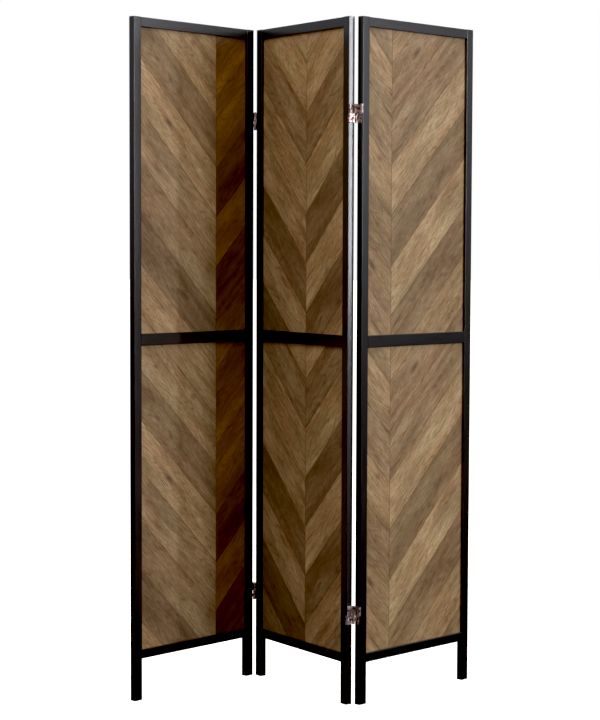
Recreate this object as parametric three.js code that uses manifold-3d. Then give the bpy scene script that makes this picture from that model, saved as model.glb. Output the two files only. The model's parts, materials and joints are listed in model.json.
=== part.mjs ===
// Folding screen of three framed panels on two-way hinges, standing in a zigzag.
// Millimetres, +Z up, +X to the right along the screen, +Y towards its back.
// Every panel is drawn about its own middle: x along the width, y through the thickness
// with the front face at -y, z up from the floor.

import * as THREE from 'three';
import { mergeVertices } from 'three/addons/utils/BufferGeometryUtils.js';
import Module from 'manifold-3d';

const wasm = await Module();
wasm.setup();

// Panel frame
const PANEL_WIDTH = 440;
const PANEL_HEIGHT = 1797;
const FRAME_THICKNESS = 19;
const STILE_WIDTH = 25.4;
const TOP_RAIL_HEIGHT = 26;
const MIDDLE_RAIL_HEIGHT = 32;
const BOTTOM_RAIL_HEIGHT = 25;
const LEG_LENGTH = 110;
const MIDDLE_RAIL_CENTRE = 957;
const ARRIS_RADIUS = 1.6;
const ARRIS_SEGMENTS = 4;

// Boards and the groove that holds them
const BOARD_THICKNESS = 3;
const GROOVE_WIDTH = 3.6;
const GROOVE_DEPTH = 8;
const BOARD_ENTRY = 7.4;
const TONGUE_THICKNESS = 3;
const TONGUE_LENGTH = 7.6;
const TONGUE_SHOULDER = 4;
const FIT_GAP = 0.3;

// How the screen stands: the middle panel's turn, and how far each outer panel is folded
const CENTRE_TURN = -53.9;
const LEFT_FOLD = 102.6;
const RIGHT_FOLD = 101;

// Two-way hinges
const HINGE_HEIGHTS = { upper: 1548, lower: 238 };
const PANEL_GAP = 8.8;
const AXIS_STAND_OFF = 1.2;
const HALF_HINGE = 24;
const END_GAP = 0.2;
const KNUCKLE_GAP = 0.3;
const OUTER_KNUCKLE = 7;
const KNUCKLE_RADIUS = 4;
const BORE_RADIUS = 1.6;
const PIN_RADIUS = 1.5;
const PIN_HEAD_RADIUS = 2.4;
const PIN_HEAD_HEIGHT = 0.9;
const PIN_HEAD_GAP = 0.15;
const LEAF_THICKNESS = 1.4;
const LEAF_GAP = 0.35;
const LEAF_HALF_WIDTH = 6.5;
const LINK_THICKNESS = 1.6;
const LINK_KNUCKLE_CLEARANCE = 0.5;
const KNUCKLE_SIDES = 16;
const HOLE_SIDES = 12;

// Screw holes, and the holes in the links that a driver reaches them through
const SCREW_OFFSET = 12;
const SCREW_HOLE_RADIUS = 1.9;
const SCREW_SINK_RADIUS = 3.3;
const PILOT_RADIUS = 1.7;
const PILOT_DEPTH = 15;
const DRIVER_HOLE_RADIUS = 3.7;

const halfWidth = PANEL_WIDTH / 2;
const halfThickness = FRAME_THICKNESS / 2;
const openingHalfWidth = halfWidth - STILE_WIDTH;
const axisY = halfThickness + AXIS_STAND_OFF;
const middleKnuckle = HALF_HINGE - 2 * (END_GAP + OUTER_KNUCKLE + KNUCKLE_GAP);
const railLevels = {
  top: [PANEL_HEIGHT - TOP_RAIL_HEIGHT, PANEL_HEIGHT],
  middle: [
    MIDDLE_RAIL_CENTRE - MIDDLE_RAIL_HEIGHT / 2,
    MIDDLE_RAIL_CENTRE + MIDDLE_RAIL_HEIGHT / 2,
  ],
  bottom: [LEG_LENGTH, LEG_LENGTH + BOTTOM_RAIL_HEIGHT],
};

const finishes = {
  frame: { color: 0x17130f, roughness: 0.42, metalness: 0 },
  board: { color: 0x8a6a45, roughness: 0.6, metalness: 0 },
  hinge: { color: 0x8c5a44, roughness: 0.35, metalness: 1 },
  pin: { color: 0x6e4636, roughness: 0.35, metalness: 1 },
};

// ---- Solids: three.js makes the shapes, manifold-3d joins and cuts them ----

function toSolid(geometry) {
  const bare = geometry.clone();
  bare.deleteAttribute('normal');
  bare.deleteAttribute('uv');
  const merged = mergeVertices(bare, 1e-4);
  return new wasm.Manifold(new wasm.Mesh({
    numProp: 3,
    vertProperties: Float32Array.from(merged.attributes.position.array),
    triVerts: Uint32Array.from(merged.index.array),
  }));
}

function toGeometry(solid) {
  const mesh = solid.getMesh();
  const geometry = new THREE.BufferGeometry();
  geometry.setAttribute('position', new THREE.BufferAttribute(mesh.vertProperties, 3));
  geometry.setIndex(new THREE.BufferAttribute(mesh.triVerts, 1));
  return geometry;
}

function block([x0, x1], [y0, y1], [z0, z1]) {
  const geometry = new THREE.BoxGeometry(x1 - x0, y1 - y0, z1 - z0);
  geometry.translate((x0 + x1) / 2, (y0 + y1) / 2, (z0 + z1) / 2);
  return toSolid(geometry);
}

// A round bar or cone on a hinge axis, radius r0 at z0 and r1 at z1.
function upright(y, [z0, z1], r0, r1 = r0, sides = HOLE_SIDES) {
  const geometry = new THREE.CylinderGeometry(r1, r0, z1 - z0, sides);
  geometry.rotateX(Math.PI / 2);
  geometry.translate(0, y, (z0 + z1) / 2);
  return toSolid(geometry);
}

function knuckle(y, levels) {
  return upright(y, levels, KNUCKLE_RADIUS, KNUCKLE_RADIUS, KNUCKLE_SIDES);
}

// A round bar or cone along x, radius r0 at x0 and r1 at x1.
function level([x0, x1], y, z, r0, r1 = r0) {
  const geometry = new THREE.CylinderGeometry(r1, r0, x1 - x0, HOLE_SIDES);
  geometry.rotateZ(-Math.PI / 2);
  geometry.translate((x0 + x1) / 2, y, z);
  return toSolid(geometry);
}

// A rectangle with its four corners rounded, centred on the origin.
function roundedSection(width, height) {
  const w = width / 2;
  const h = height / 2;
  const r = ARRIS_RADIUS;
  const shape = new THREE.Shape();
  shape.moveTo(-w + r, -h);
  shape.lineTo(w - r, -h);
  shape.absarc(w - r, -h + r, r, -Math.PI / 2, 0);
  shape.lineTo(w, h - r);
  shape.absarc(w - r, h - r, r, 0, Math.PI / 2);
  shape.lineTo(-w + r, h);
  shape.absarc(-w + r, h - r, r, Math.PI / 2, Math.PI);
  shape.lineTo(-w, -h + r);
  shape.absarc(-w + r, -h + r, r, Math.PI, 1.5 * Math.PI);
  return shape;
}

function bar(width, height, length) {
  return new THREE.ExtrudeGeometry(roundedSection(width, height), {
    depth: length,
    bevelEnabled: false,
    curveSegments: ARRIS_SEGMENTS,
  });
}

function part(name, solid, finish) {
  const material = new THREE.MeshStandardMaterial(finish);
  const mesh = new THREE.Mesh(toGeometry(solid), material);
  mesh.name = name;
  return mesh;
}

// ---- Panel ----

// The tongue of a rail keeps clear of the board beside it and of the rail's outer edge.
function tongueLevels(rail) {
  const [low, high] = railLevels[rail];
  const bottom = rail === 'bottom' ? low + TONGUE_SHOULDER : low + GROOVE_DEPTH + FIT_GAP;
  const top = rail === 'top' ? high - TONGUE_SHOULDER : high - GROOVE_DEPTH - FIT_GAP;
  return [bottom, top];
}

// Upright of the frame and its leg, grooved on its inner edge from the bottom rail's
// tongue to the top rail's. side is -1 for the left one and 1 for the right one.
function stile(side, hinged) {
  const geometry = bar(STILE_WIDTH, FRAME_THICKNESS, PANEL_HEIGHT);
  geometry.translate(side * (halfWidth - STILE_WIDTH / 2), 0, 0);
  const innerEdge = side * openingHalfWidth;
  const grooveX = [innerEdge - side, innerEdge + side * GROOVE_DEPTH].sort((a, b) => a - b);
  const grooveZ = [
    tongueLevels('bottom')[0] - FIT_GAP,
    tongueLevels('top')[1] + FIT_GAP,
  ];
  const groove = block(grooveX, [-GROOVE_WIDTH / 2, GROOVE_WIDTH / 2], grooveZ);
  let solid = toSolid(geometry).subtract(groove);
  if (hinged) {
    const outerEdge = side * halfWidth;
    const holeX = [outerEdge + side, outerEdge - side * PILOT_DEPTH].sort((a, b) => a - b);
    for (const height of Object.values(HINGE_HEIGHTS)) {
      for (const offset of [-SCREW_OFFSET, SCREW_OFFSET]) {
        solid = solid.subtract(level(holeX, 0, height + offset, PILOT_RADIUS));
      }
    }
  }
  return solid;
}

// Rail between the stiles, with a tongue at each end and a groove where a board enters.
function rail(which) {
  const [low, high] = railLevels[which];
  const length = 2 * (openingHalfWidth - FIT_GAP);
  const geometry = bar(high - low, FRAME_THICKNESS, length);
  geometry.rotateY(Math.PI / 2);
  geometry.translate(-length / 2, 0, (low + high) / 2);
  let solid = toSolid(geometry);
  const through = [-length, length];
  const grooveY = [-GROOVE_WIDTH / 2, GROOVE_WIDTH / 2];
  if (which !== 'bottom') {
    solid = solid.subtract(block(through, grooveY, [low - 1, low + GROOVE_DEPTH]));
  }
  if (which !== 'top') {
    solid = solid.subtract(block(through, grooveY, [high - GROOVE_DEPTH, high + 1]));
  }
  const reach = openingHalfWidth + TONGUE_LENGTH;
  const tongueY = [-TONGUE_THICKNESS / 2, TONGUE_THICKNESS / 2];
  return solid.add(block([-reach, reach], tongueY, tongueLevels(which)));
}

// Printed board that enters the grooves all round.
function board(lowerRail, upperRail) {
  const reach = openingHalfWidth + BOARD_ENTRY;
  return block(
    [-reach, reach],
    [-BOARD_THICKNESS / 2, BOARD_THICKNESS / 2],
    [railLevels[lowerRail][1] - BOARD_ENTRY, railLevels[upperRail][0] + BOARD_ENTRY],
  );
}

function panel(name, hingedSides) {
  const group = new THREE.Group();
  const add = (piece, solid, finish) => group.add(part(`${name}_${piece}`, solid, finish));
  add('left_stile', stile(-1, hingedSides.includes('left')), finishes.frame);
  add('right_stile', stile(1, hingedSides.includes('right')), finishes.frame);
  for (const which of ['top', 'middle', 'bottom']) {
    add(`${which}_rail`, rail(which), finishes.frame);
  }
  add('upper_board', board('middle', 'top'), finishes.board);
  add('lower_board', board('bottom', 'middle'), finishes.board);
  return group;
}

// ---- Two-way hinge ----
// It is drawn opened flat, about the middle of the gap between two panels. Its front and
// rear axes stand just outside the panel faces. Each half of its height has one link, which
// is pinned to one leaf at the front axis and to the other leaf at the rear axis, and the
// two halves are crossed. So the panels fold either way, each way about one axis.

// half is 1 for the top half and -1 for the bottom half; a knuckle's levels are counted
// from the hinge's middle.
function halfLevels(half, low, high) {
  return half > 0 ? [low, high] : [-high, -low];
}

const outerKnuckles = [
  [END_GAP, END_GAP + OUTER_KNUCKLE],
  [HALF_HINGE - END_GAP - OUTER_KNUCKLE, HALF_HINGE - END_GAP],
];
const middleLevels = [
  (HALF_HINGE - middleKnuckle) / 2,
  (HALF_HINGE + middleKnuckle) / 2,
];

// Leaf screwed to a stile's edge. side is -1 on the left panel and 1 on the right one, and
// topAxis is the y of the axis that its top half reaches: the other half reaches the other.
function hingeLeaf(side, topAxis) {
  const face = side * (PANEL_GAP / 2 - LEAF_GAP);
  const inner = face - side * LEAF_THICKNESS;
  const plateX = [face, inner].sort((a, b) => a - b);
  const height = HALF_HINGE - END_GAP;
  let solid = block(plateX, [-LEAF_HALF_WIDTH, LEAF_HALF_WIDTH], [-height, height]);
  for (const half of [1, -1]) {
    const y = half * topAxis;
    const levels = halfLevels(half, ...middleLevels);
    const strapX = [side * (KNUCKLE_RADIUS - LEAF_THICKNESS), side * KNUCKLE_RADIUS];
    solid = solid.add(block(strapX.sort((a, b) => a - b), [0, y].sort((a, b) => a - b), levels));
    solid = solid.add(knuckle(y, levels));
    solid = solid.subtract(upright(y, [levels[0] - 1, levels[1] + 1], BORE_RADIUS));
    const radii = side > 0
      ? [SCREW_SINK_RADIUS, SCREW_HOLE_RADIUS]
      : [SCREW_HOLE_RADIUS, SCREW_SINK_RADIUS];
    solid = solid.subtract(level(plateX, 0, half * SCREW_OFFSET, ...radii));
  }
  return solid;
}

// Link on the middle of the gap, from the front axis to the rear one.
function hingeLink(half) {
  const full = halfLevels(half, END_GAP, HALF_HINGE - END_GAP);
  const plateX = [-LINK_THICKNESS / 2, LINK_THICKNESS / 2];
  let solid = block(plateX, [-axisY, axisY], full);
  for (const y of [-axisY, axisY]) {
    const clearRadius = KNUCKLE_RADIUS + LINK_KNUCKLE_CLEARANCE;
    const clearLevels = [middleLevels[0] - KNUCKLE_GAP, middleLevels[1] + KNUCKLE_GAP];
    for (const [low, high] of outerKnuckles) {
      solid = solid.add(knuckle(y, halfLevels(half, low, high)));
    }
    solid = solid.subtract(upright(y, halfLevels(half, ...clearLevels), clearRadius));
    solid = solid.subtract(upright(y, [full[0] - 1, full[1] + 1], BORE_RADIUS));
  }
  return solid.subtract(level([-2, 2], 0, half * SCREW_OFFSET, DRIVER_HOLE_RADIUS));
}

// Pin with a low head on its outer end.
function hingePin(half, y) {
  const shank = upright(y, halfLevels(half, END_GAP, HALF_HINGE), PIN_RADIUS);
  const headLevels = halfLevels(
    half,
    HALF_HINGE - END_GAP + PIN_HEAD_GAP,
    HALF_HINGE - END_GAP + PIN_HEAD_GAP + PIN_HEAD_HEIGHT,
  );
  const radii = half > 0
    ? [PIN_HEAD_RADIUS, PIN_HEAD_RADIUS * 0.7]
    : [PIN_HEAD_RADIUS * 0.7, PIN_HEAD_RADIUS];
  return shank.add(upright(y, headLevels, ...radii));
}

// ---- The screen ----

const screen = new THREE.Group();
const panels = {
  left: panel('left_panel', ['right']),
  centre: panel('centre_panel', ['left', 'right']),
  right: panel('right_panel', ['left']),
};
const upAxis = new THREE.Vector3(0, 0, 1);
const radians = THREE.MathUtils.degToRad;

// Turns a point of a panel to the screen's directions.
function turned(x, y, degrees) {
  return new THREE.Vector3(x, y, 0).applyAxisAngle(upAxis, radians(degrees));
}

const hingeX = halfWidth + PANEL_GAP / 2;
const leftTurn = CENTRE_TURN + LEFT_FOLD;
const rightTurn = CENTRE_TURN + RIGHT_FOLD;

// The left panel is folded about the front axis and the right one about the rear axis.
const frontAxis = turned(-hingeX, -axisY, CENTRE_TURN);
const rearAxis = turned(hingeX, axisY, CENTRE_TURN);
panels.centre.rotation.z = radians(CENTRE_TURN);
panels.left.rotation.z = radians(leftTurn);
panels.left.position.copy(frontAxis).sub(turned(hingeX, -axisY, leftTurn));
panels.right.rotation.z = radians(rightTurn);
panels.right.position.copy(rearAxis).sub(turned(-hingeX, axisY, rightTurn));

// The top link goes with the outer panel and the bottom link with the middle one. In the
// left gap the top half's leaf on the left panel reaches the rear axis, and so on round.
for (const gap of ['left', 'right']) {
  const leftSide = gap === 'left' ? panels.left : panels.centre;
  const rightSide = gap === 'left' ? panels.centre : panels.right;
  const outer = gap === 'left' ? leftSide : rightSide;
  const outerSide = gap === 'left' ? -1 : 1;
  for (const [level, height] of Object.entries(HINGE_HEIGHTS)) {
    const name = `${gap}_${level}_hinge`;
    const onLeft = new THREE.Group();
    const onRight = new THREE.Group();
    onLeft.position.set(hingeX, 0, height);
    onRight.position.set(-hingeX, 0, height);
    leftSide.add(onLeft);
    rightSide.add(onRight);
    const onOuter = outer === leftSide ? onLeft : onRight;
    const onCentre = outer === leftSide ? onRight : onLeft;
    const leaf = (side) => hingeLeaf(side, -side * axisY);
    onOuter.add(part(`${name}_outer_leaf`, leaf(outerSide), finishes.hinge));
    onCentre.add(part(`${name}_centre_leaf`, leaf(-outerSide), finishes.hinge));
    for (const [half, holder, word] of [[1, onOuter, 'top'], [-1, onCentre, 'bottom']]) {
      holder.add(part(`${name}_${word}_link`, hingeLink(half), finishes.hinge));
      holder.add(part(`${name}_${word}_front_pin`, hingePin(half, -axisY), finishes.pin));
      holder.add(part(`${name}_${word}_rear_pin`, hingePin(half, axisY), finishes.pin));
    }
  }
}

screen.add(panels.left, panels.centre, panels.right);

// The origin is on the floor, under the middle of the screen's outline.
screen.updateMatrixWorld(true);
const outline = new THREE.Box3().setFromObject(screen, true);
const middle = outline.getCenter(new THREE.Vector3());
screen.position.set(-middle.x, -middle.y, 0);
screen.updateMatrixWorld(true);

export default screen;
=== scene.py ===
# %% [markdown]
# # A folding screen in painted pine and printed oak
# Three framed panels stand in a zigzag on two-way hinges. Their sizes, places and joints were
# fixed in CAD, so this script only gives them their looks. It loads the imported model, makes finer
# pieces in the places of plain ones, and lights them as a small studio would.

import json
import math

import bmesh
import bpy
import numpy as np
from mathutils import Matrix, Vector


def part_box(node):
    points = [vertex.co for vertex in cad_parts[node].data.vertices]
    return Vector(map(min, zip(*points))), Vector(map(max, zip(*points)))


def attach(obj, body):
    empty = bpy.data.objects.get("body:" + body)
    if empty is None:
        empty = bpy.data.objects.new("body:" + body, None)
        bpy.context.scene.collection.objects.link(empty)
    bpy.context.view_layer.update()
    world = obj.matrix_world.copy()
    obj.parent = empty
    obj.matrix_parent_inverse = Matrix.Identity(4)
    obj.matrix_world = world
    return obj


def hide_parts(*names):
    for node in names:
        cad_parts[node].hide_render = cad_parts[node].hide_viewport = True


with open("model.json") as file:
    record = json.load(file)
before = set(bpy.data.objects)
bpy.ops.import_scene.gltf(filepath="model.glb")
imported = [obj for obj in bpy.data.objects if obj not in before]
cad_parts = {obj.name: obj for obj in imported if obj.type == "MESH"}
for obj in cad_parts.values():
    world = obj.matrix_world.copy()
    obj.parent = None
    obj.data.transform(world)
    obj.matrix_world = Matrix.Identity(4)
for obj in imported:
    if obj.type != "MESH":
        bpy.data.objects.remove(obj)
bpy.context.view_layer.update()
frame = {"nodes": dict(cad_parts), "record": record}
nodes = frame["nodes"]

# %% [markdown]
# ## Where each panel stands
# Every panel is easiest to draw flat, about its own middle: x along its width, y through its
# thickness with the front at minus y, z up from the floor, all in millimetres. The two stiles of
# a panel say where it stands. A stile is symmetric, so the middle of its box is its own middle,
# and the line from one to the other is the panel's x. Reading this from the CAD boxes keeps the
# looks and the mechanics in one place.

# %% Panel frames
MM = 0.001
STILE_WIDTH = 25.4
THICKNESS = 19.0


def panel_frame(name):
    """The panel's middle on the floor, and its x and y directions, from its stiles' boxes."""
    middles = []
    for side in ("left", "right"):
        low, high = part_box(f"{name}_{side}_stile")
        middles.append((np.array(low) + np.array(high)) / 2)
    across = middles[1] - middles[0]
    along = across / np.linalg.norm(across)
    origin = (middles[0] + middles[1]) / 2 * (1, 1, 0)
    width = np.linalg.norm(across) / MM + STILE_WIDTH
    return origin, along, np.array([-along[1], along[0], 0.0]), width


def levels(node):
    """Lowest and highest point of a CAD node, in millimetres above the floor."""
    low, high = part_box(node)
    return low.z / MM, high.z / MM


PANELS = {side: panel_frame(f"{side}_panel") for side in ("left", "centre", "right")}
PANEL_WIDTH = float(PANELS["centre"][3])
PANEL_HEIGHT = levels("centre_panel_left_stile")[1]
INNER = PANEL_WIDTH / 2 - STILE_WIDTH
for side, (_, along, _, width) in PANELS.items():
    print(side, "panel:", round(width, 2), "mm wide, turned",
          round(math.degrees(math.atan2(along[1], along[0])), 1), "degrees")


def place(panel, points):
    """Points of a flat panel, in millimetres, carried to where it stands, in metres: the
    panel's own directions times x and y, added to its middle, with z left upright."""
    origin, along, through, _ = PANELS[panel]
    points = np.asarray(points, float) * MM
    flat = points[..., :1] * along + points[..., 1:2] * through
    return origin + flat + points[..., 2:] * (0, 0, 1)


# %% [markdown]
# ## From arrays to meshes
# Each new piece is a surface given by two parameters, worked out as a whole array of points. A
# skin of quads then joins neighbours in the array. Where the first parameter runs round a closed
# section, its last row joins its first again. Points that fall on one another are welded, so
# every skin is closed.

# %% Skins and pieces
WELD = 0.001  # points nearer than this are one point


def skin(points, uv=None, wrap=False, caps=False, flip=False):
    """Quads over an array of points [around, along]. wrap joins the last row round to the first,
    and caps closes both ends with one face each. Returns points, faces and a UV for each corner."""
    rows, columns = points.shape[:2]
    index = np.arange(rows * columns).reshape(rows, columns)
    if uv is None:
        uv = np.zeros((rows + wrap, columns, 2))
    ring = np.vstack([index, index[:1]]) if wrap else index
    quads = np.stack([ring[:-1, :-1], ring[1:, :-1], ring[1:, 1:], ring[:-1, 1:]], -1)
    corners = np.stack([uv[:-1, :-1], uv[1:, :-1], uv[1:, 1:], uv[:-1, 1:]], 2)
    faces = quads.reshape(-1, 4).tolist()
    coordinates = list(corners.reshape(-1, 4, 2))
    if caps:
        faces += [index[::-1, 0].tolist(), index[:, -1].tolist()]
        coordinates += [uv[:rows, 0][::-1], uv[:rows, -1]]
    if flip:
        faces = [f[::-1] for f in faces]
        coordinates = [c[::-1] for c in coordinates]
    return points.reshape(-1, 3), faces, coordinates


def make_piece(name, skins, material, panel, body, smooth=40):
    """One mesh object from several skins, in millimetres on a flat panel, riding on a body."""
    vertices, faces, coordinates, start = [], [], [], 0
    for points, quads, corners in skins:
        vertices.append(points)
        faces += [[i + start for i in f] for f in quads]
        coordinates += list(corners)
        start += len(points)
    mesh = bpy.data.meshes.new(name)
    mesh.from_pydata(place(panel, np.vstack(vertices)), [], faces)
    layer = mesh.uv_layers.new(name="UVMap")
    layer.data.foreach_set("uv", np.vstack(coordinates).astype(np.float32).ravel())
    mesh.materials.append(material)
    work = bmesh.new()
    work.from_mesh(mesh)
    bmesh.ops.remove_doubles(work, verts=work.verts, dist=WELD * MM)
    work.to_mesh(mesh)
    work.free()
    mesh.shade_smooth()
    mesh.set_sharp_from_angle(angle=math.radians(smooth))
    piece = bpy.data.objects.new(name, mesh)
    bpy.context.scene.collection.objects.link(piece)
    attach(piece, body)
    return piece


# %% [markdown]
# ## Colours and nodes
# Colours are written as the hex values a paint chart would give. Blender mixes light in linear
# values, so one function turns them round. A second one adds a node to a tree, which keeps each
# material readable as a list of steps.

# %% Helpers for materials
def linear(hex_colour):
    """sRGB hex to linear RGBA: each channel is undone from the display's curve."""
    channels = np.array([int(hex_colour[i:i + 2], 16) for i in (1, 3, 5)]) / 255
    flat = np.where(channels <= 0.04045, channels / 12.92, ((channels + 0.055) / 1.055) ** 2.4)
    return (*flat.tolist(), 1.0)


def add(tree, kind, inputs=None, **settings):
    """Adds a node. Each input is given a value, or the socket of another node to link from."""
    node = tree.nodes.new("ShaderNode" + kind)
    for name, value in settings.items():
        setattr(node, name, value)
    for key, value in (inputs or {}).items():
        if isinstance(value, bpy.types.NodeSocket):
            tree.links.new(value, node.inputs[key])
        else:
            node.inputs[key].default_value = value
    return node


def new_material(name, **surface):
    """A material with one Principled shader, whose constants are set on its own sockets."""
    material = bpy.data.materials.new(name)
    material.use_nodes = True
    tree = material.node_tree
    tree.nodes.clear()
    shader = add(tree, "BsdfPrincipled", {k.replace("_", " "): v for k, v in surface.items()})
    output = add(tree, "OutputMaterial")
    tree.links.new(shader.outputs[0], output.inputs["Surface"])
    return material, tree, shader


# %% [markdown]
# ## Black-brown paint over pine
# The frame is pine, sprayed with a black-brown satin lacquer. The lacquer sinks a little into the
# softer early wood, so long ridges of grain still show under a raking light, and the gloss is
# broken up by them. The arrises were sanded round before painting, so they catch a thin line of
# light. The UV map of a bar runs along it in metres, so one material serves uprights and rails.

# %% Frame paint
GRAIN_RIDGE = 0.0022  # metres between ridges of grain: a real 1 mm is too fine to show
PAINT = "#120E0C"

frame_paint, tree, shader = new_material(
    "satin black-brown lacquer on pine", IOR=1.5, Roughness=0.32, Coat_Weight=0.6,
    Coat_Roughness=0.17, Coat_IOR=1.5)
uv = add(tree, "UVMap", uv_map="UVMap").outputs[0]
grain_place = add(tree, "Mapping", {"Vector": uv, "Scale": (1 / GRAIN_RIDGE, 8.0, 1.0)})
ridges = add(tree, "TexNoise", {"Vector": grain_place.outputs[0], "Scale": 1.0, "Detail": 3.0,
                                "Roughness": 0.6})
cloud = add(tree, "TexNoise", {"Vector": uv, "Scale": 14.0, "Detail": 2.0})
tone = add(tree, "Mix", {"Factor": cloud.outputs["Fac"], "A": linear(PAINT),
                         "B": linear("#191411")}, data_type="RGBA")
gloss = add(tree, "MapRange", {"Value": ridges.outputs["Fac"], "From Min": 0.3, "From Max": 0.7,
                               "To Min": 0.27, "To Max": 0.38})
relief = add(tree, "Bump", {"Height": ridges.outputs["Fac"], "Strength": 0.25,
                            "Distance": 0.0004})
tree.links.new(tone.outputs["Result"], shader.inputs["Base Color"])
tree.links.new(gloss.outputs[0], shader.inputs["Roughness"])
tree.links.new(relief.outputs[0], shader.inputs["Normal"])
print("frame paint:", len(tree.nodes), "nodes")

# %% [markdown]
# ## The bars of the frame
# A stile or a rail is one stick of planed pine, 19 mm thick, with its long edges eased and a
# groove run along the edge that holds the boards. It could be a box with a bevel, but a section
# carried along a line gives the groove, the eased ends and a UV map that follows the wood. The
# groove is as deep as a function of the place along the bar says, so it can stop before a leg.

# %% Bars
ARRIS = 1.6           # radius of a sanded edge
GROOVE_WIDTH = 3.6
GROOVE_DEPTH = 8.0
END_EASE = 0.6        # how far a cut end draws in
ARRIS_STEPS = 5       # points round a quarter of an arris
TONGUE_SHOULDER = 4.0 # from a rail's outer edge to the groove that its tongue sits in
TONGUE_GAP = 0.3
RAIL_GAP = 0.05       # between a rail's end and the stile


def bar_section(width, low_groove, high_groove):
    """The closed section of a bar, about its middle: two faces, two edges with a groove each
    (as deep as given for each step along the bar), and four rounded arrises, each a quarter of
    a circle set in by its radius. Array [around, along, 2], across the bar and through its
    thickness."""
    half_w, half_t, half_g = width / 2, THICKNESS / 2, GROOVE_WIDTH / 2
    turn = np.linspace(0, np.pi / 2, ARRIS_STEPS)
    corners = [(1, 1, 0), (-1, 1, 1), (-1, -1, 2), (1, -1, 3)]
    arcs = [np.stack([sx * (half_w - ARRIS) + ARRIS * np.cos(turn + q * np.pi / 2),
                      sy * (half_t - ARRIS) + ARRIS * np.sin(turn + q * np.pi / 2)], -1)
            for sx, sy, q in corners]
    count = len(low_groove)

    def repeated(points):
        return np.repeat(np.asarray(points, float)[:, None], count, 1)

    def groove(sign, depth):
        lips = repeated([(sign * half_w, -sign * g) for g in (half_g, half_g, -half_g, -half_g)])
        lips[1:3, :, 0] -= sign * depth
        return lips

    return np.concatenate([
        repeated(arcs[0]), repeated(arcs[1]), groove(-1, low_groove),
        repeated(arcs[2]), repeated(arcs[3]), groove(1, high_groove)])


def bar(length_levels, width, low_groove, high_groove):
    """A bar's section at each place along it. The ends draw in by the easing, so the cut end
    has a soft edge. Returns the section's points and the UV in metres."""
    start, end = length_levels[0], length_levels[-1]
    section = bar_section(width, low_groove, high_groove)
    inset = np.clip(1 - np.minimum(length_levels - start, end - length_levels) / END_EASE, 0, 1)
    factor = 1 - inset * END_EASE * 2 / np.array([[width], [THICKNESS]])
    section = section * factor.T[None]
    closed = np.vstack([section, section[:1]])
    steps = np.linalg.norm(np.diff(closed, axis=0), axis=2)
    around = np.vstack([np.zeros(len(length_levels)), np.cumsum(steps, 0)])
    uv = np.stack([around, np.broadcast_to(length_levels, around.shape)], -1) * MM
    return section, uv


def shifted(uv, seed):
    """Moves a UV map by the bar's own number of metres, so that no two bars share their grain."""
    across, along = (seed * 0.317) % 1, (seed * 0.731) % 3
    return uv + np.array([across, along])


GROOVE_LOW = levels("centre_panel_bottom_rail")[0] + TONGUE_SHOULDER - TONGUE_GAP
GROOVE_HIGH = PANEL_HEIGHT - TONGUE_SHOULDER + TONGUE_GAP
bar_count = 0
for panel in PANELS:
    body = f"panel_{panel}"
    for sign, side in ((-1, "left"), (1, "right")):
        z = np.array([0, END_EASE, GROOVE_LOW, GROOVE_LOW, GROOVE_HIGH, GROOVE_HIGH,
                      PANEL_HEIGHT - END_EASE, PANEL_HEIGHT])
        depth = np.where((np.arange(len(z)) >= 3) & (np.arange(len(z)) <= 4), GROOVE_DEPTH, 0.0)
        flat = np.zeros(len(z))
        grooves = (flat, depth) if sign < 0 else (depth, flat)
        section, uv = bar(z, STILE_WIDTH, *grooves)
        points = np.concatenate([
            section[..., :1] + sign * (PANEL_WIDTH - STILE_WIDTH) / 2, section[..., 1:],
            np.broadcast_to(z, section.shape[:2])[..., None]], -1)
        bar_count += 1
        node = f"{panel}_panel_{side}_stile"
        piece = make_piece(node + "_bar", [skin(points, shifted(uv, bar_count), wrap=True,
                                                caps=True)],
                           frame_paint, panel, body)
        piece.modifiers.new("flat faces stay flat", "WEIGHTED_NORMAL").keep_sharp = True
        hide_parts(node)
    for which in ("top", "middle", "bottom"):
        node = f"{panel}_panel_{which}_rail"
        low, high = levels(node)
        reach = INNER - RAIL_GAP
        x = np.array([-reach, -reach + END_EASE / 2, reach - END_EASE / 2, reach])
        full, flat = np.full(4, GROOVE_DEPTH), np.zeros(4)
        section, uv = bar(x, high - low, flat if which == "bottom" else full,
                          flat if which == "top" else full)
        points = np.stack([np.broadcast_to(x, section.shape[:2]), section[..., 1],
                           section[..., 0] + (low + high) / 2], -1)
        bar_count += 1
        piece = make_piece(node + "_bar", [skin(points, shifted(uv, bar_count), wrap=True,
                                                caps=True, flip=True)],
                           frame_paint, panel, body)
        piece.modifiers.new("flat faces stay flat", "WEIGHTED_NORMAL").keep_sharp = True
        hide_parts(node)
print(bar_count, "bars of", ARRIS_STEPS * 4 + 8, "points round")

# %% [markdown]
# ## The chevron print
# The boards are thin fibreboard with a paper face, printed with oak planks laid in a chevron.
# The planks of each side run down to one upright joint at 45 degrees and meet there in points.
# One sheet of print serves both boards of a panel, cut at two places, so a plank seen above the
# middle rail is often seen again below it. Each plank is a strip of quads of its own, with a
# UV map along and across it. Its tone and its marks are attributes of its faces, so
# one material can print them all. On the left panel, the planks right of the joint lie in the
# inner corner and take darker, warmer tones that are painted shade.

# %% Planks
PLANK_PITCH = 133.3   # between planks along the joint, which is the plank's width times root 2
# The last three tones are painted shade: darker, warmer colours for planks in the inner corner's
# shadow.
TONES = {
    "pale": "#947F5F", "light": "#8D7859", "mid": "#877255", "tan": "#826D51",
    "brown": "#7D694D", "dark": "#705D43", "deep": "#604D36", "honey": "#78592D",
    "amber": "#6A4E26", "chestnut": "#583D22",
}
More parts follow.
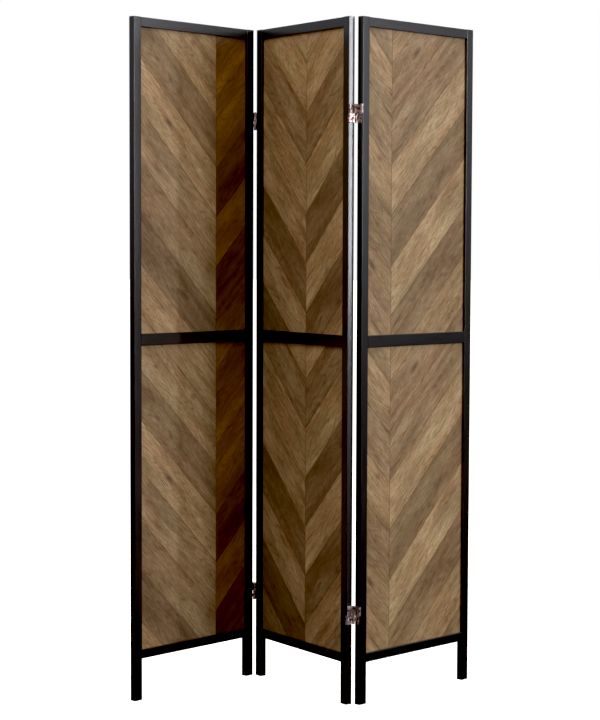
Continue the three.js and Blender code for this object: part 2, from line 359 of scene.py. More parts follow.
# Each sheet: the joint's distance from the panel's left edge, how far down the joint the first
# whole plank starts on each side, how far down the sheet the lower board was cut again, and
# the planks' tones from the top.
SHEETS = {
    "left": (303.6, 112, 116, 948,
             "mid light light brown pale mid mid dark pale light mid",
             # Right of the joint the left panel's planks take the shaded tones. This is painted
             # shade, added to the real shadow the key light throws there.
             "honey amber honey honey chestnut honey chestnut amber honey amber honey"),
    "centre": (235.8, 105, 104, 712,
               "mid light pale brown light light dark light deep dark mid",
               "mid light pale brown pale dark pale dark light brown light"),
    "right": (120.6, 250, 110, 837,
              "mid light tan pale brown mid mid tan light mid tan",
              "light pale mid tan pale brown pale brown light tan mid"),
}
FIRST_PLANK = -2      # the number of the first tone in a sheet's list
BOARD_THICKNESS = 3.0
BOARD_ENTRY = 7.4     # how far a board goes into a groove
BOARD_REACH = INNER + BOARD_ENTRY
STEP = 6.0            # between columns of points


def sheet_edges(panel, top, bottom):
    """Where plank edges of either side meet the joint, as depths down the sheet. Both sides
    take all of them, so that the two halves share every point of the joint."""
    reach = BOARD_REACH + PANEL_WIDTH / 2
    edges = []
    for first in SHEETS[panel][1:3]:
        start = math.floor((top - first) / PLANK_PITCH)
        stop = math.ceil((bottom + reach - first) / PLANK_PITCH)
        edges.append(first + np.arange(start, stop + 1) * PLANK_PITCH)
    return np.union1d(*edges)


def half_sheet(panel, sign, board_levels, cut, marks_of):
    """One side of a board's print. A point is given by its distance u from the joint and by the
    place w where its plank's edge meets the joint: its depth is w less u, because the planks
    rise at 45 degrees, and it is held between the board's top and bottom. Returns the points,
    the quads, their corners' UV (along and across the plank, in metres), tones and marks."""
    joint, first = SHEETS[panel][0], SHEETS[panel][1 if sign < 0 else 2]
    tones = SHEETS[panel][4 if sign < 0 else 5].split()
    joint_x = joint - PANEL_WIDTH / 2
    reach = BOARD_REACH - sign * joint_x
    u = np.append(np.arange(0, reach - STEP / 2, STEP), reach)
    top, bottom = PANEL_HEIGHT - board_levels[1] - cut, PANEL_HEIGHT - board_levels[0] - cut
    w = sheet_edges(panel, top, bottom)
    distance, edge = np.meshgrid(u, w, indexing="ij")
    depth = np.clip(edge - distance, top, bottom)
    points = np.stack([joint_x + sign * distance, np.full(depth.shape, -BOARD_THICKNESS / 2),
                       PANEL_HEIGHT - cut - depth], -1)
    index = np.arange(depth.size).reshape(depth.shape)
    quads = np.stack([index[:-1, :-1], index[1:, :-1], index[1:, 1:], index[:-1, 1:]], -1)
    quads = quads.reshape(-1, 4)
    if sign > 0:
        quads = quads[:, ::-1]
    number = np.floor(((w[1:] + w[:-1]) / 2 - first) / PLANK_PITCH).astype(int)
    number = np.broadcast_to(number, (len(u) - 1, len(number))).ravel()
    run, drop = distance.ravel()[quads], depth.ravel()[quads]
    drop = drop - (first + number * PLANK_PITCH)[:, None]
    uv = np.stack([run - drop, run + drop], -1) * MM / math.sqrt(2)
    word = np.clip(number - FIRST_PLANK, 0, len(tones) - 1)
    colours = np.array([linear(TONES[t]) for t in tones])[word]
    return points.reshape(-1, 3), quads, uv, colours, marks_of[sign][word]


def welded(points, quads):
    """Joins points at the same place. Returns the points, the quads by their new numbers, and
    which corners stay, since a quad that was held at the board's edge loses a corner or two."""
    places, number = np.unique(np.round(points, 3), axis=0, return_inverse=True)
    quads = number.ravel()[quads]
    return places, quads, quads != np.roll(quads, -1, axis=1)


print("planks are", round(PLANK_PITCH / math.sqrt(2), 1), "mm wide")

# %% [markdown]
# ## Printed oak
# The paper shows oak with its growth rings as long arches, fine fibres, short pores, a few knots
# and the light cross marks of a saw. All of it is drawn in the plank's own coordinates. The
# rings are the contour lines of a slow noise that is stretched along the plank, which gives
# closed arches much as a flat-sawn board does. The film over the paper is matt and faintly
# embossed with the grain.

# %% Oak print material
FIBRE = 0.003         # metres between fibres across the plank: a real 0.5 mm is too fine to show
RING = 0.0075         # metres between ring lines, as they spread on a flat-sawn face
SAW_MARK = 0.006      # metres between the strokes of a frame saw: a real 3 mm is too fine to show
PLANK_WIDTH = PLANK_PITCH / math.sqrt(2) * MM
LINE = 0.0011         # half the width of the printed line between planks

oak_print, tree, shader = new_material(
    "matt printed oak paper on fibreboard", IOR=1.45, Roughness=0.55)
uv = add(tree, "UVMap", uv_map="UVMap").outputs[0]
tone = add(tree, "Attribute", attribute_name="tone").outputs["Color"]
marks = add(tree, "SeparateXYZ", {0: add(tree, "Attribute", attribute_name="marks")
                                  .outputs["Vector"]})
seed, saw, knot_along = marks.outputs[0], marks.outputs[1], marks.outputs[2]
parts = add(tree, "SeparateXYZ", {0: uv})
along, across = parts.outputs[0], parts.outputs[1]
own = add(tree, "CombineXYZ", {"X": along, "Y": across, "Z": seed})

# A knot lies 45 mm in from the plank's edge, where its attribute says along the plank.
# Near it the slow noise is pulled up, so the rings close round it.
KNOT_ACROSS = 0.045
knot_place = add(tree, "CombineXYZ", {"X": knot_along, "Y": KNOT_ACROSS, "Z": 0.0})
knot_flat = add(tree, "CombineXYZ", {"X": along, "Y": across, "Z": 0.0})
from_knot = add(tree, "VectorMath", {0: knot_flat.outputs[0], 1: knot_place.outputs[0]},
                operation="SUBTRACT")
squeezed = add(tree, "VectorMath", {0: from_knot.outputs[0], 1: (0.36, 1.0, 1.0)},
               operation="MULTIPLY")
knot_distance = add(tree, "VectorMath", {0: squeezed.outputs[0]},
                    operation="LENGTH").outputs["Value"]
knot_pull = add(tree, "MapRange", {"Value": knot_distance, "From Min": 0.0, "From Max": 0.035,
                                   "To Min": 1.0, "To Max": 0.0}, interpolation_type="SMOOTHSTEP")
knot_heart = add(tree, "MapRange", {"Value": knot_distance, "From Min": 0.001,
                                    "From Max": 0.012, "To Min": 0.75, "To Max": 0.0},
                 interpolation_type="SMOOTHSTEP")

slow_place = add(tree, "Mapping", {"Vector": own.outputs[0], "Scale": (2.6, 17.0, 1.0)})
slow = add(tree, "TexNoise", {"Vector": slow_place.outputs[0], "Scale": 1.0, "Detail": 1.5,
                              "Roughness": 0.45, "Distortion": 0.3})
KNOT_LIFT = 0.16      # how far a knot lifts the noise whose contour lines are the rings
NOISE_RISE = 0.16     # metres across the plank in which that noise would go from 0 to 1
field = add(tree, "Math", {0: knot_pull.outputs[0], 1: KNOT_LIFT, 2: slow.outputs["Fac"]},
            operation="MULTIPLY_ADD")
rings = add(tree, "Math", {0: field.outputs[0], 1: 2 * math.pi * NOISE_RISE / RING},
            operation="MULTIPLY")
wave = add(tree, "Math", {0: rings.outputs[0]}, operation="SINE")
ring_line = add(tree, "MapRange", {"Value": wave.outputs[0], "From Min": 0.35, "From Max": 1.0,
                                   "To Min": 0.0, "To Max": 1.0})
broken_place = add(tree, "Mapping", {"Vector": own.outputs[0], "Scale": (9.0, 60.0, 3.0)})
broken = add(tree, "TexNoise", {"Vector": broken_place.outputs[0], "Scale": 1.0, "Detail": 2.0})
ring_show = add(tree, "MapRange", {"Value": broken.outputs["Fac"], "From Min": 0.38,
                                   "From Max": 0.62, "To Min": 0.2, "To Max": 1.0})
ring_dark = add(tree, "Math", {0: ring_line.outputs[0], 1: ring_show.outputs[0]},
                operation="MULTIPLY")

fibre_place = add(tree, "Mapping", {"Vector": own.outputs[0],
                                    "Scale": (45.0, 1 / FIBRE, 5.0)})
fibres = add(tree, "TexNoise", {"Vector": fibre_place.outputs[0], "Scale": 1.0, "Detail": 4.0,
                                "Roughness": 0.65})
patch_place = add(tree, "Mapping", {"Vector": own.outputs[0], "Scale": (7.0, 17.0, 9.0)})
patches = add(tree, "TexNoise", {"Vector": patch_place.outputs[0], "Scale": 1.0, "Detail": 3.0,
                                 "Roughness": 0.6})
streak_place = add(tree, "Mapping", {"Vector": own.outputs[0], "Scale": (4.5, 48.0, 7.0)})
streaks = add(tree, "TexNoise", {"Vector": streak_place.outputs[0], "Scale": 1.0, "Detail": 3.0,
                                 "Roughness": 0.55, "Distortion": 0.4})
cast_place = add(tree, "Mapping", {"Vector": own.outputs[0], "Scale": (5.0, 16.0, 3.0)})
cast = add(tree, "TexNoise", {"Vector": cast_place.outputs[0], "Scale": 1.0, "Detail": 2.0})
pore_place = add(tree, "Mapping", {"Vector": own.outputs[0], "Scale": (70.0, 420.0, 11.0)})
pores = add(tree, "TexNoise", {"Vector": pore_place.outputs[0], "Scale": 1.0, "Detail": 1.0})
pore_dark = add(tree, "MapRange", {"Value": pores.outputs["Fac"], "From Min": 0.6,
                                   "From Max": 0.75, "To Min": 0.0, "To Max": 1.0})

saw_wave = add(tree, "Math", {0: along, 1: 2 * math.pi / SAW_MARK}, operation="MULTIPLY")
saw_line = add(tree, "Math", {0: saw_wave.outputs[0]}, operation="SINE")
saw_patch = add(tree, "MapRange", {"Value": patches.outputs["Fac"], "From Min": 0.48,
                                   "From Max": 0.6, "To Min": 0.0, "To Max": 1.0})
saw_here = add(tree, "Math", {0: saw_patch.outputs[0], 1: saw}, operation="MULTIPLY")
saw_light = add(tree, "Math", {0: saw_line.outputs[0], 1: saw_here.outputs[0]},
                operation="MULTIPLY")

# Shares of light: 1 leaves the tone as it is.
shade_patch = add(tree, "MapRange", {"Value": patches.outputs["Fac"], "From Min": 0.3,
                                     "From Max": 0.7, "To Min": 0.7, "To Max": 1.3})
shade_streak = add(tree, "MapRange", {"Value": streaks.outputs["Fac"], "From Min": 0.3,
                                      "From Max": 0.7, "To Min": 0.77, "To Max": 1.23})
shade_fibre = add(tree, "MapRange", {"Value": fibres.outputs["Fac"], "From Min": 0.3,
                                     "From Max": 0.7, "To Min": 0.66, "To Max": 1.34})
shade_ring = add(tree, "Math", {0: ring_dark.outputs[0], 1: -0.32, 2: 1.0},
                 operation="MULTIPLY_ADD")
shade_pore = add(tree, "Math", {0: pore_dark.outputs[0], 1: -0.35, 2: 1.0},
                 operation="MULTIPLY_ADD")
shade_saw = add(tree, "Math", {0: saw_light.outputs[0], 1: 0.22, 2: 1.0},
                operation="MULTIPLY_ADD")
shade = shade_patch.outputs[0]
for factor in (shade_streak, shade_fibre, shade_ring, shade_pore, shade_saw):
    shade = add(tree, "Math", {0: shade, 1: factor.outputs[0]},
                operation="MULTIPLY").outputs[0]

# The printed lines: along each plank's two edges, and down the joint, where along plus across
# comes to nothing.
from_edge = add(tree, "Math", {0: across, 1: PLANK_WIDTH / 2}, operation="SUBTRACT")
from_edge = add(tree, "Math", {0: from_edge.outputs[0]}, operation="ABSOLUTE")
edge_line = add(tree, "MapRange", {"Value": from_edge.outputs[0],
                                   "From Min": PLANK_WIDTH / 2 - 2 * LINE,
                                   "From Max": PLANK_WIDTH / 2 - LINE * 0.5,
                                   "To Min": 0.0, "To Max": 1.0})
from_joint = add(tree, "Math", {0: along, 1: across}, operation="ADD")
joint_line = add(tree, "MapRange", {"Value": from_joint.outputs[0], "From Min": LINE,
                                    "From Max": 2.5 * LINE, "To Min": 1.0, "To Max": 0.0})
line = add(tree, "Math", {0: edge_line.outputs[0], 1: joint_line.outputs[0]},
           operation="MAXIMUM")
shade_line = add(tree, "Math", {0: line.outputs[0], 1: -0.38, 2: 1.0},
                 operation="MULTIPLY_ADD")
shade = add(tree, "Math", {0: shade, 1: shade_line.outputs[0]}, operation="MULTIPLY").outputs[0]

# Dark wood is redder than pale wood, so each channel takes the shade to its own power.
powers = []
for power in (0.85, 1.08, 1.35):
    powers.append(add(tree, "Math", {0: shade, 1: power}, operation="POWER").outputs[0])
tint = add(tree, "CombineColor", {"Red": powers[0], "Green": powers[1], "Blue": powers[2]})
wood = add(tree, "Mix", {"Factor": 1.0, "A": tone, "B": tint.outputs[0]}, data_type="RGBA",
           blend_type="MULTIPLY")
cast_share = add(tree, "MapRange", {"Value": cast.outputs["Fac"], "From Min": 0.35,
                                    "From Max": 0.65, "To Min": 0.0, "To Max": 1.0})
cast_tint = add(tree, "Mix", {"Factor": cast_share.outputs[0], "A": (1.04, 0.98, 0.95, 1.0),
                              "B": (0.97, 1.02, 1.0, 1.0)}, data_type="RGBA")
cast_wood = add(tree, "Mix", {"Factor": 1.0, "A": wood.outputs["Result"],
                              "B": cast_tint.outputs["Result"]}, data_type="RGBA",
                blend_type="MULTIPLY")
with_knot = add(tree, "Mix", {"Factor": knot_heart.outputs[0], "A": cast_wood.outputs["Result"],
                              "B": linear("#4A3020")}, data_type="RGBA")
tree.links.new(with_knot.outputs["Result"], shader.inputs["Base Color"])
gloss = add(tree, "MapRange", {"Value": fibres.outputs["Fac"], "From Min": 0.3,
                               "From Max": 0.7, "To Min": 0.6, "To Max": 0.5})
tree.links.new(gloss.outputs[0], shader.inputs["Roughness"])
relief = add(tree, "Bump", {"Height": fibres.outputs["Fac"], "Strength": 0.3,
                            "Distance": 0.0003})
tree.links.new(relief.outputs[0], shader.inputs["Normal"])
print("oak print:", len(tree.nodes), "nodes")

# Sawn fibreboard: pressed wood wool, matt and slightly furry, seen only as a thin pale rim.
core, tree, shader = new_material("raw fibreboard edge", IOR=1.45, Roughness=0.8)
wool = add(tree, "TexNoise", {"Vector": add(tree, "TexCoord").outputs["Object"],
                              "Scale": 900.0, "Detail": 3.0})
felt = add(tree, "Mix", {"Factor": wool.outputs["Fac"], "A": linear("#6E5236"),
                         "B": linear("#9A7B57")}, data_type="RGBA")
tree.links.new(felt.outputs["Result"], shader.inputs["Base Color"])
tree.links.new(add(tree, "Bump", {"Height": wool.outputs["Fac"], "Strength": 0.3,
                                  "Distance": 0.0002}).outputs[0], shader.inputs["Normal"])

# %% [markdown]
# ## The boards
# A board is a printed sheet with a thickness. The sheet comes from the two half prints, and
# Solidify gives it its 3 mm, the same print on its back, and an edge of raw fibreboard inside
# the grooves. SAWN and KNOTS name a plank by its panel, its side of the joint and its number
# down from there. Most planks are clean, as they are in sorted oak.

# %% Boards
SAWN = {("left", 1, 1), ("left", 1, 3), ("left", -1, 2), ("left", -1, 6), ("centre", -1, 3),
        ("centre", -1, 5), ("centre", 1, 4), ("right", -1, 5), ("right", 1, 3)}
KNOTS = {("right", 1, 0): 0.09, ("left", -1, 2): 0.2, ("left", -1, 5): 0.12,
         ("centre", 1, 3): 0.2, ("right", -1, 3): 0.06}
NO_KNOT = -2.0        # metres: off the plank's end
PLANKS = 11           # to a side of a sheet
random = np.random.default_rng(7)


def plank_marks(panel, sign):
    """For each plank from the first: a seed for its grain, how strongly the saw shows on it,
    and where its knot lies along it, in metres."""
    numbers = range(FIRST_PLANK, FIRST_PLANK + PLANKS)
    return np.array([[random.uniform(0, 40), 1.0 if (panel, sign, k) in SAWN else 0.0,
                      KNOTS.get((panel, sign, k), NO_KNOT)] for k in numbers])


for panel in PANELS:
    marks_of = {sign: plank_marks(panel, sign) for sign in (-1, 1)}
    for which, cut in (("upper", 0.0), ("lower", SHEETS[panel][3])):
        node = f"{panel}_panel_{which}_board"
        left, right = (half_sheet(panel, sign, levels(node), cut, marks_of) for sign in (-1, 1))
        points, quads, corners = welded(np.vstack([left[0], right[0]]),
                                        np.vstack([left[1], right[1] + len(left[0])]))
        kept = corners.sum(1) >= 3
        quads, corners = quads[kept], corners[kept]
        uv, tones, marks = (np.concatenate([left[i], right[i]])[kept] for i in (2, 3, 4))
        mesh = bpy.data.meshes.new(node + "_print")
        mesh.from_pydata(place(panel, points), [], [q[c].tolist() for q, c in
                                                    zip(quads, corners)])
        layer = mesh.uv_layers.new(name="UVMap")
        layer.data.foreach_set("uv", uv[corners].astype(np.float32).ravel())
        colour = mesh.attributes.new("tone", "FLOAT_COLOR", "FACE")
        colour.data.foreach_set("color", tones.astype(np.float32).ravel())
        vector = mesh.attributes.new("marks", "FLOAT_VECTOR", "FACE")
        vector.data.foreach_set("vector", marks.astype(np.float32).ravel())
        mesh.materials.append(oak_print)
        mesh.materials.append(core)
        piece = bpy.data.objects.new(node + "_print", mesh)
        bpy.context.scene.collection.objects.link(piece)
        thick = piece.modifiers.new("thickness", "SOLIDIFY")
        thick.thickness = BOARD_THICKNESS * MM
        thick.offset = -1.0
        thick.material_offset_rim = 1
        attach(piece, f"panel_{panel}")
        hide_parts(node)
print("boards done:", len(PANELS) * 2)

# %% [markdown]
# ## Antique copper
# The hinges are pressed steel, plated with copper and darkened, then rubbed so that a pale
# pinkish copper shows through on the open faces. It is satin, with brushing along the leaf, so
# a light turns into a soft glow on it. Screws and pins are plain steel blackened in hot oil:
# dark, with a dull gleam.

# %% Hinge metal
copper, tree, shader = new_material("antique copper plate on steel", Metallic=1.0,
                                    Roughness=0.45)
here = add(tree, "TexCoord").outputs["Object"]
brushed = add(tree, "TexNoise", {"Vector": add(tree, "Mapping", {
    "Vector": here, "Scale": (900.0, 900.0, 60.0)}).outputs[0], "Scale": 1.0, "Detail": 2.0})
tarnish = add(tree, "TexNoise", {"Vector": here, "Scale": 160.0, "Detail": 3.0})
rubbed = add(tree, "MapRange", {"Value": tarnish.outputs["Fac"], "From Min": 0.36,
                                "From Max": 0.64, "To Min": 0.0, "To Max": 1.0})
plate = add(tree, "Mix", {"Factor": rubbed.outputs[0], "A": linear("#57413B"),
                          "B": linear("#E4CCC6")}, data_type="RGBA")
tree.links.new(plate.outputs["Result"], shader.inputs["Base Color"])
tree.links.new(add(tree, "MapRange", {"Value": brushed.outputs["Fac"], "To Min": 0.36,
                                      "To Max": 0.54}).outputs[0], shader.inputs["Roughness"])
tree.links.new(add(tree, "Bump", {"Height": brushed.outputs["Fac"], "Strength": 0.2,
                                  "Distance": 0.0001}).outputs[0], shader.inputs["Normal"])

bronze, tree, shader = new_material("oil-darkened screw steel", Metallic=1.0, Roughness=0.5)
here = add(tree, "TexCoord").outputs["Object"]
stain = add(tree, "TexNoise", {"Vector": here, "Scale": 700.0, "Detail": 2.0})
tree.links.new(add(tree, "Mix", {"Factor": stain.outputs["Fac"], "A": linear("#1A1311"),
                                 "B": linear("#3A2A25")}, data_type="RGBA")
               .outputs["Result"], shader.inputs["Base Color"])
tree.links.new(add(tree, "Bump", {"Height": stain.outputs["Fac"], "Strength": 0.2,
                                  "Distance": 0.0001}).outputs[0], shader.inputs["Normal"])

# %% [markdown]
# ## The hinges
# Leaves and links are stamped and rolled from sheet, so no edge of them is sharp. A copy of each
# CAD node is joined into one skin, and a small bevel breaks its edges, which keeps every hole and
# knuckle where the mechanics need it. The pins are turned, so a profile carried round their axis
# makes them: a shank with a chamfer at one end and a low dome at the other.

# %% Hinge leaves, links and pins
BODY_OF = {node: body for body, members in frame["record"]["behaviour"]["bodies"].items()
           for node in members}
EDGE_BREAK = 0.12 * MM
PIN_SHANK = 1.5       # radii and heights of a pin, in millimetres
PIN_HEAD = 2.4
PIN_DOME = 0.9
PIN_CHAMFER = 0.3
PIN_HOLE = 0.05       # radius of the small flat cap that closes the skin on its axis


def eased_copy(node):
    """A copy of a CAD node with its triangles joined and its edges broken by a bevel."""
    mesh = nodes[node].data.copy()
    if "custom_normal" in mesh.attributes:
        mesh.attributes.remove(mesh.attributes["custom_normal"])
    work = bmesh.new()
    work.from_mesh(mesh)
    bmesh.ops.remove_doubles(work, verts=work.verts, dist=0.002 * MM)
    bmesh.ops.dissolve_limit(work, angle_limit=math.radians(0.5), verts=work.verts,
                             edges=work.edges)
    work.to_mesh(mesh)
    work.free()
    mesh.materials.clear()
    mesh.materials.append(copper)
    mesh.shade_smooth()
    mesh.set_sharp_from_angle(angle=math.radians(40))
    piece = bpy.data.objects.new(node + "_eased", mesh)
    bpy.context.scene.collection.objects.link(piece)
    bevel = piece.modifiers.new("broken edges", "BEVEL")
    bevel.width, bevel.segments = EDGE_BREAK, 2
    bevel.limit_method, bevel.angle_limit = "ANGLE", math.radians(40)
    bevel.use_clamp_overlap, bevel.harden_normals = False, True
    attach(piece, BODY_OF[node])
    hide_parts(node)


def turned(profile, around):
    """A profile of (radius, height) pairs carried round the z axis. Array [around, along, 3]."""
    angle = np.arange(around)[:, None] * 2 * np.pi / around
    radius, height = np.array(profile, float).T
    return np.stack([radius * np.cos(angle), radius * np.sin(angle),
                     np.broadcast_to(height, (around, len(height)))], -1)


def pin_profile(length, head_up):
    """Shank, chamfered foot and domed head. The dome is a quarter of a flat ellipse."""
    shoulder = length - PIN_DOME
    dome = np.linspace(0, np.pi / 2, 7)[1:-1]
    head = [(PIN_HEAD * math.cos(a), shoulder + PIN_DOME * math.sin(a)) for a in dome]
    profile = [(PIN_HOLE, 0), (PIN_SHANK - PIN_CHAMFER, 0), (PIN_SHANK, PIN_CHAMFER),
               (PIN_SHANK, shoulder), (PIN_HEAD, shoulder), *head, (PIN_HOLE, length)]
    if not head_up:
        profile = [(r, length - h) for r, h in profile[::-1]]
    return profile


def flat_middle(node, panel):
    """A node's middle in its panel's flat millimetres, from its box."""
    origin, along, through, _ = PANELS[panel]
    low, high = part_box(node)
    offset = (np.array(low) + np.array(high)) / 2 - origin
    return np.array([offset @ along, offset @ through, offset[2]]) / MM


pins = 0
for node, body in BODY_OF.items():
    if node.endswith(("_leaf", "_link")):
        eased_copy(node)
    elif node.endswith("_pin"):
        low, high = levels(node)
        x, y, _ = flat_middle(node, body[len("panel_"):])
        points = turned(pin_profile(high - low, "_top_" in node), 28) + (x, y, low)
        piece = make_piece(node + "_turned", [skin(points, wrap=True, caps=True)], bronze,
                           body[len("panel_"):], body, smooth=50)
        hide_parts(node)
        pins += 1
print(pins, "pins turned")

# %% [markdown]
# ## Screws
# Each leaf is held by two countersunk wood screws with a cross recess. A screw is one skin: from
# the middle of its head out to the rim, down the cone, along the thread and to the point. The
# recess lowers the head's face where two crossed arms lie, and the thread is a ridge whose place
# moves on by one pitch for each turn.

# %% Screws
HEAD_RADIUS = 3.15
HEAD_CONE = 1.5
CORE_RADIUS = 1.15
THREAD_RIDGE = 0.4
THREAD_PITCH = 1.5
THREAD_END = 2.5      # from the last turn to the point
SCREW_LENGTH = 14.0
RECESS = {"arm": 1.8, "half_width": 0.42, "depth": 1.3}
RECESS_TAPER = 0.35   # the share of its depth that an arm has lost at its tip
SCREW_LEVELS = (-12.0, 12.0)  # of a leaf's two screws, from its middle
LEAF_FACE = 2.65      # from the gap's middle to the face that a screw's head lies in
HEAD_SUNK = 0.1       # how far a head lies below that face
GAP_MIDDLE = 224.4    # from a panel's middle to the middle of the gap beside it


def screw(around=40):
    """The screw about the z axis, its head's face at height 0. The thread's height at a point
    is a triangle wave of its height over the pitch less its share of a turn. The recess is the
    product of two slopes, one for the arms' sides and one for their tips. Array [around,
    along, 3]."""
    face = np.linspace(0.04, HEAD_RADIUS, 14)
    thread = np.linspace(-HEAD_CONE - 0.3, -SCREW_LENGTH + THREAD_END, 46)
    radius = np.concatenate([face, [HEAD_RADIUS, CORE_RADIUS + 0.35],
                             np.full(len(thread), CORE_RADIUS), [0.05]])
    height = np.concatenate([np.zeros(len(face)), [-0.2, -HEAD_CONE - 0.1], thread,
                             [-SCREW_LENGTH]])
    angle = np.arange(around)[:, None] * 2 * np.pi / around
    turns = height / THREAD_PITCH - angle / (2 * np.pi)
    ridge = np.clip(1 - 3 * np.abs((turns % 1) - 0.5), 0, 1) * THREAD_RIDGE
    threaded = (height < -HEAD_CONE - 0.4) & (height > -SCREW_LENGTH + THREAD_END + 0.1)
    r = radius + ridge * threaded
    x, y = r * np.cos(angle), r * np.sin(angle)
    long_way, short_way = np.maximum(abs(x), abs(y)), np.minimum(abs(x), abs(y))
    inside = (np.clip((RECESS["half_width"] - short_way) / 0.12 + 0.5, 0, 1)
              * np.clip((RECESS["arm"] - long_way) / 0.2 + 0.5, 0, 1))
    on_face = np.arange(len(radius)) < len(face)
    taper = 1 - RECESS_TAPER * long_way / RECESS["arm"]
    sunk = RECESS["depth"] * inside * taper * on_face
    return np.stack([x, y, height - sunk], -1)


shape = screw()
screws = 0
for gap in ("left", "right"):
    for leaf in ("outer", "centre"):
        panel = gap if leaf == "outer" else "centre"
        side = 1 if (gap == "left") == (leaf == "centre") else -1
        middle = -side * GAP_MIDDLE
        for which in ("upper", "lower"):
            node = f"{gap}_{which}_hinge_{leaf}_leaf"
            low, high = levels(node)
            for lift in SCREW_LEVELS:
                head_at = middle + side * (LEAF_FACE + HEAD_SUNK)
                points = np.stack([head_at - side * shape[..., 2],
                                   shape[..., 0], shape[..., 1] + (low + high) / 2 + lift], -1)
                name = f"{gap}_{which}_hinge_{leaf}_{'upper' if lift > 0 else 'lower'}_screw"
                make_piece(name, [skin(points, wrap=True, caps=True, flip=side < 0)], bronze,
                           panel, BODY_OF[node], smooth=35)
                screws += 1
print(screws, "screws of", shape.shape[0] * shape.shape[1], "points")

# %% [markdown]
# ## The floor
# Pale paper, large enough to meet the horizon, and held near white by a glow of its own. The
# paint doesn't mirror it and it throws no light up, so the legs stand dark and clear against it.

# %% Floor
floor_paper, tree, shader = new_material("pale studio paper", Roughness=0.9)
fleck = add(tree, "TexNoise", {"Vector": add(tree, "TexCoord").outputs["Object"],
                               "Scale": 3.0, "Detail": 2.0})
tree.links.new(add(tree, "Mix", {"Factor": fleck.outputs["Fac"], "A": linear("#F4F4F4"),
                                 "B": linear("#F8F8F8")}, data_type="RGBA")
               .outputs["Result"], shader.inputs["Base Color"])
shader.inputs["Emission Color"].default_value = linear("#FFFFFF")
shader.inputs["Emission Strength"].default_value = 0.95
FLOOR_REACH = 60.0
mesh = bpy.data.meshes.new("studio_floor")
mesh.from_pydata([(x * FLOOR_REACH, y * FLOOR_REACH, 0) for x, y in
                  ((-1, -1), (1, -1), (1, 1), (-1, 1))], [], [(0, 1, 2, 3)])
mesh.materials.append(floor_paper)
floor = bpy.data.objects.new("studio_floor", mesh)
bpy.context.scene.collection.objects.link(floor)
floor.visible_glossy = False
floor.visible_diffuse = False

# %% [markdown]
# ## Light
# A large soft box stands far off to the right and in front. It lights the two outer panels and
# leaves the inner corner to the room. A tall narrow strip stands where the middle panel's edge
# mirrors it, which draws that edge as a bright line, and a second one does the same, more
# faintly, for the outer stile on the left. A box overhead fills the middle panel, and one behind
# gives the backs some light. The room gives warm even light from above, and what gloss mirrors
# of it goes dark towards the floor, so the bars fade downwards.

# %% Lights
def soft_box(name, place_at, target, size, watts, colour):
    """A rectangular soft light that faces a point. Its size is its width and its height."""
    lamp = bpy.data.lights.new(name, "AREA")
    lamp.shape = "RECTANGLE"
    lamp.size, lamp.size_y = size
    lamp.energy = watts
    lamp.color = linear(colour)[:3]
    light = bpy.data.objects.new(name, lamp)
    light.location = place_at
    facing = Vector(target) - Vector(place_at)
    light.rotation_euler = facing.to_track_quat("-Z", "Y").to_euler()
    light.visible_camera = False
    bpy.context.scene.collection.objects.link(light)
    return light


KEY_BEARING = math.radians(33.0)
KEY_DISTANCE = 6.0
soft_box("key", (KEY_DISTANCE * math.cos(KEY_BEARING), -KEY_DISTANCE * math.sin(KEY_BEARING),
                 2.1), (0, 0, 1.0), (0.94, 1.6), 122, "#F6FAFF")
soft_box("edge strip", (5.82, -2.06, 2.18), (0.136, -0.175, 1.5), (0.22, 2.55), 88, "#F6F8FF")
soft_box("side", (5.16, -0.55, 2.3), (-0.43, -0.16, 1.6), (0.42, 2.24), 20, "#F4F6FF")
soft_box("overhead", (-0.75, -1.7, 3.1), (0, 0, 1.3), (2.0, 1.5), 29, "#FFF3E8")
soft_box("behind", (0.2, 3.6, 2.6), (0, 0, 1.0), (2.4, 1.6), 70, "#FFFFFF")

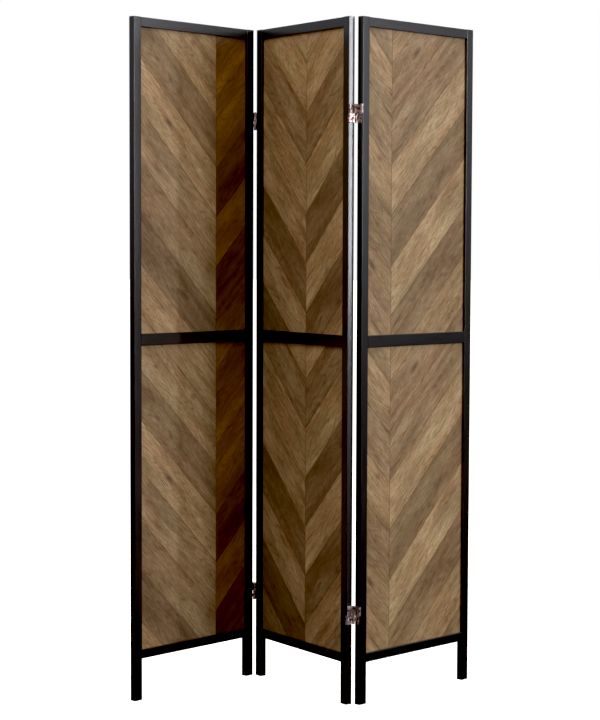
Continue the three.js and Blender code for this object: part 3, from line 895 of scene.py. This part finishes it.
world = bpy.data.worlds.new("studio room")
world.use_nodes = True
tree = world.node_tree
tree.nodes.clear()
ray = add(tree, "LightPath")
upward = add(tree, "SeparateXYZ", {0: add(tree, "TexCoord").outputs["Generated"]})
walls = add(tree, "MapRange", {"Value": upward.outputs[2], "From Min": -0.2, "From Max": 0.4,
                               "To Min": 0.15, "To Max": 0.98})
shine = add(tree, "MapRange", {"Value": upward.outputs[2], "From Min": -0.04, "From Max": 0.11,
                               "To Min": 0.0, "To Max": 0.58})
room = add(tree, "Background", {"Color": linear("#FFE5CE"), "Strength": walls.outputs[0]})
gleam = add(tree, "Background", {"Color": linear("#EEF3FF"), "Strength": shine.outputs[0]})
paper = add(tree, "Background", {"Color": linear("#FFFFFF"), "Strength": 1.0})
lit = add(tree, "MixShader", {0: ray.outputs["Is Glossy Ray"], 1: room.outputs[0],
                              2: gleam.outputs[0]})
shown = add(tree, "MixShader", {0: ray.outputs["Is Camera Ray"], 1: lit.outputs[0],
                                2: paper.outputs[0]})
tree.links.new(shown.outputs[0], add(tree, "OutputWorld").inputs["Surface"])
bpy.context.scene.world = world

# %% [markdown]
# ## Camera
# It stands 5.2 m in front at chest height, a little to the right, and looks slightly down
# through a long lens. The shift only puts the screen in the frame. The view is plain, with a
# small black level that deepens the darkest paint.

# %% Camera
CAMERA_AT = (0.1848, -5.2488, 1.2111)
LOOKS_DOWN, LEANS = math.radians(3.736), math.radians(0.334)
camera_data = bpy.data.cameras.new("camera")
camera_data.sensor_width = 36.0
camera_data.lens = 97.5
camera_data.shift_x = -0.1016
camera_data.shift_y = 0.0159
camera = bpy.data.objects.new("camera", camera_data)
camera.matrix_world = (Matrix.Translation(CAMERA_AT)
                       @ Matrix.Rotation(math.radians(90) - LOOKS_DOWN, 4, "X")
                       @ Matrix.Rotation(LEANS, 4, "Z"))
bpy.context.scene.collection.objects.link(camera)
bpy.context.scene.camera = camera

view = bpy.context.scene.view_settings
view.view_transform = "Standard"
view.look = "None"
view.use_curve_mapping = True
view.curve_mapping.black_level = (0.014, 0.014, 0.014)
view.curve_mapping.update()
